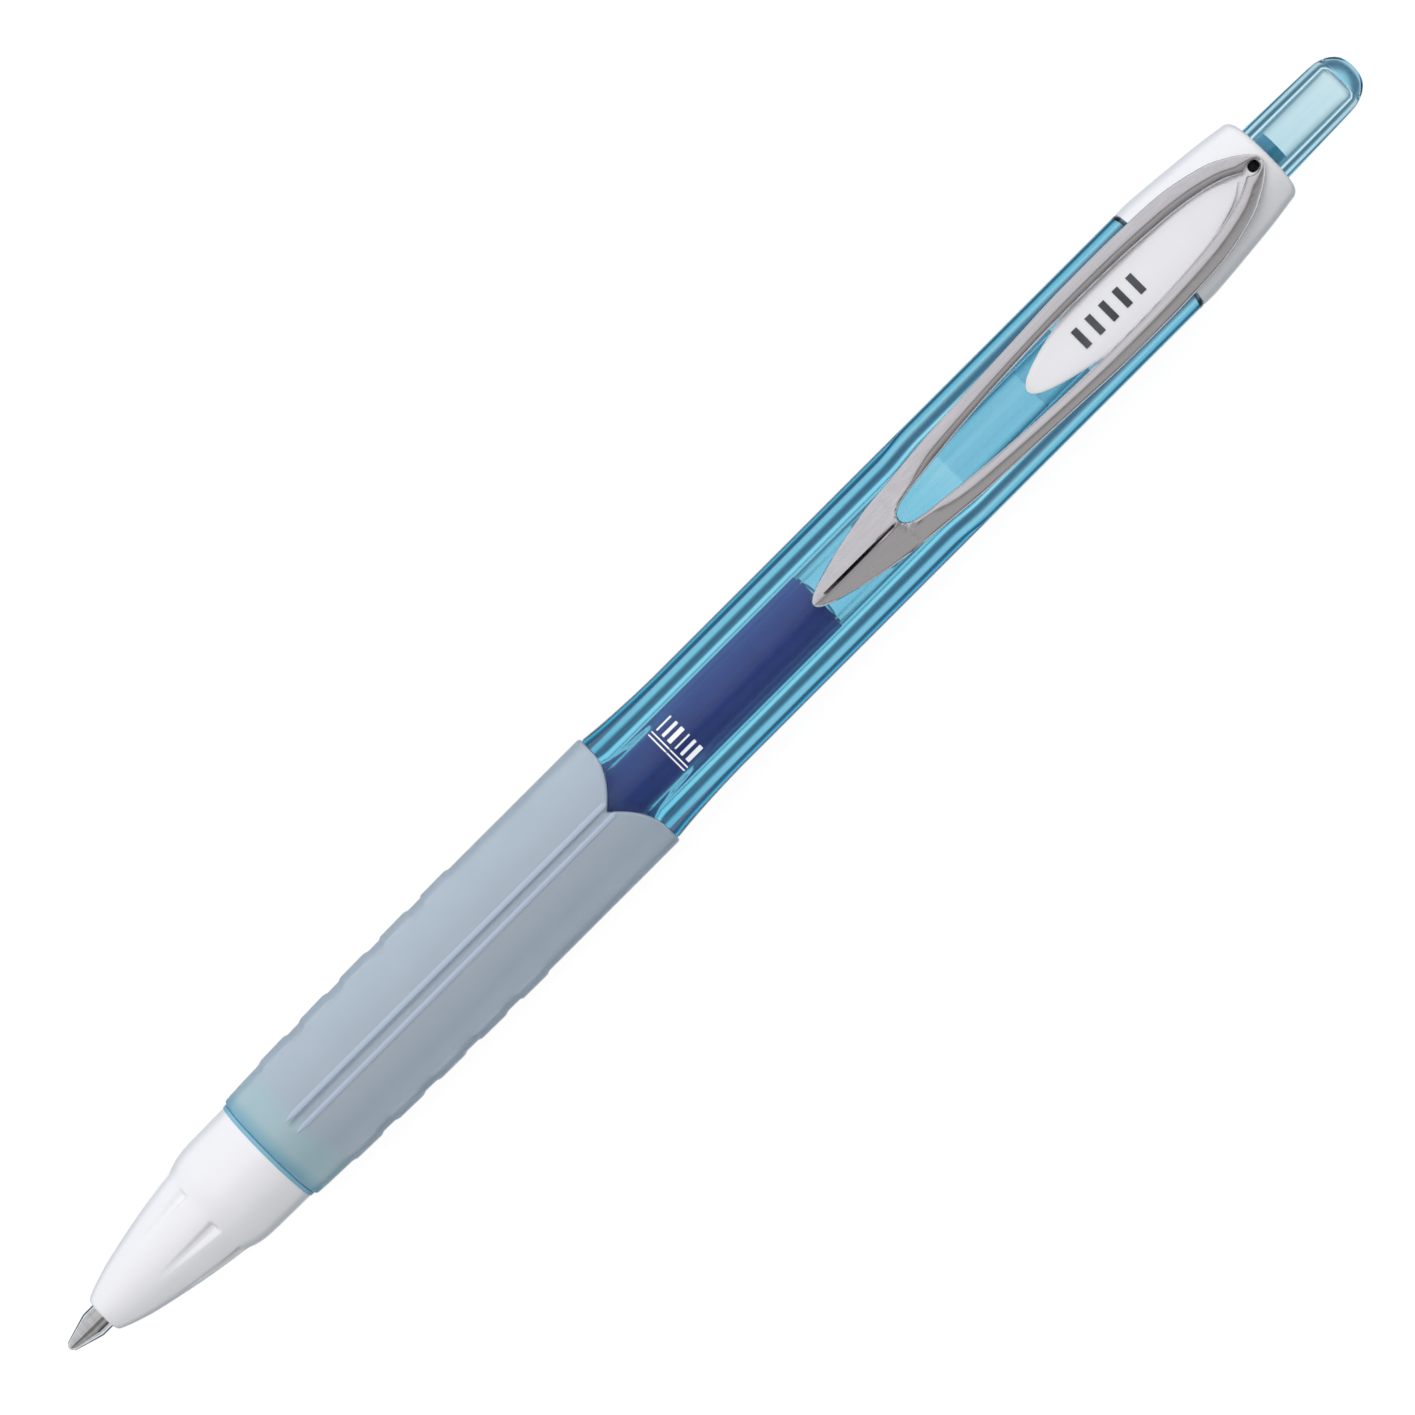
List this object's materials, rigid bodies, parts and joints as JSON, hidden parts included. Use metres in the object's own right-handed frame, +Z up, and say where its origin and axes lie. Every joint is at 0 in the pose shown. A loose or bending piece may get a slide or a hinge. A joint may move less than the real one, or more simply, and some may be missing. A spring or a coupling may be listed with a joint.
{
  "type": "retractable gel pen",
  "caption": "Retractable gel pen: translucent barrel, padded rubber grip, fluted nose cone, ring clip with a tongue, click button, cams, spring and ink refill.",
  "frame": {"origin": "on the surface the pen lies on, under the middle of its length and width", "axes": "+X along the pen from its tip to its button, +Z up on the clip's side, +Y across the pen"},
  "size_m": [0.143, 0.0114, 0.0129],
  "materials": {
    "ball_metal": "polished",
    "spring_steel": "drawn wire",
    "tip_steel": "turned",
    "holder_plastic": "gloss",
    "clear_tube": "clear",
    "ink": "wet",
    "grease": "wet",
    "plug_plastic": "clear",
    "white_plastic": "gloss",
    "blue_translucent": "translucent",
    "grip_rubber": "frosted",
    "clip_metal": "satin",
    "guide_plastic": "translucent",
    "cam_blue": "gloss",
    "white_print": "printed",
    "grey_print": "printed"
  },
  "bodies": {
    "barrel": {"barrel": "blue_translucent", "grip_sleeve": "grip_rubber", "top_collar": "white_plastic", "cam_guide": "guide_plastic", "return_spring": "spring_steel", "barrel_mark": "white_print", "collar_mark": "grey_print"},
    "nose": {"nose_cone": "white_plastic"},
    "clip": {"clip": "clip_metal"},
    "button": {"push_button": "blue_translucent", "thrust_cam": "cam_blue"},
    "refill": {"refill_tube": "clear_tube", "ink_column": "ink", "ink_follower": "grease", "tail_plug": "plug_plastic", "tip_holder": "holder_plastic", "pen_tip": "tip_steel", "ball_spring": "spring_steel"},
    "rotor": {"rotary_cam": "guide_plastic"},
    "ball": {"writing_ball": "ball_metal"}
  },
  "joints": [
    {"name": "button_slide", "type": "slide", "parent": "barrel", "child": "button", "axis": [1, 0, 0], "range_m": [-0.0015, 0.0055]},
    {"name": "refill_slide", "type": "slide", "parent": "barrel", "child": "refill", "axis": [1, 0, 0], "range_m": [-0.0015, 0.0055], "deforming": ["return_spring"]},
    {"name": "rotor_turn", "type": "hinge", "parent": "refill", "child": "rotor", "pos_m": [0.0425, 0, 0.00565], "axis": [1, 0, 0], "range_deg": [-6.2, 22.6]},
    {"name": "clip_flex", "type": "hinge", "parent": "barrel", "child": "clip", "pos_m": [0.0602, 0, 0.00937], "axis": [0, 1, 0], "range_deg": [0, 5], "stiffness_Nm_per_rad": 1.5},
    {"name": "nose_cone_off", "type": "slide", "parent": "barrel", "child": "nose", "axis": [-1, 0, 0], "range_m": [0, 0.024]},
    {"name": "ball_roll", "type": "hinge", "parent": "refill", "child": "ball", "pos_m": [-0.07115, 0, 0.00565], "axis": [0, 1, 0], "continuous": true}
  ],
  "couplings": [
    {"joint": "refill_slide", "follows": "button_slide", "ratio": 1},
    {"joint": "rotor_turn", "follows": "button_slide", "rad_per_m": 71.4}
  ]
}
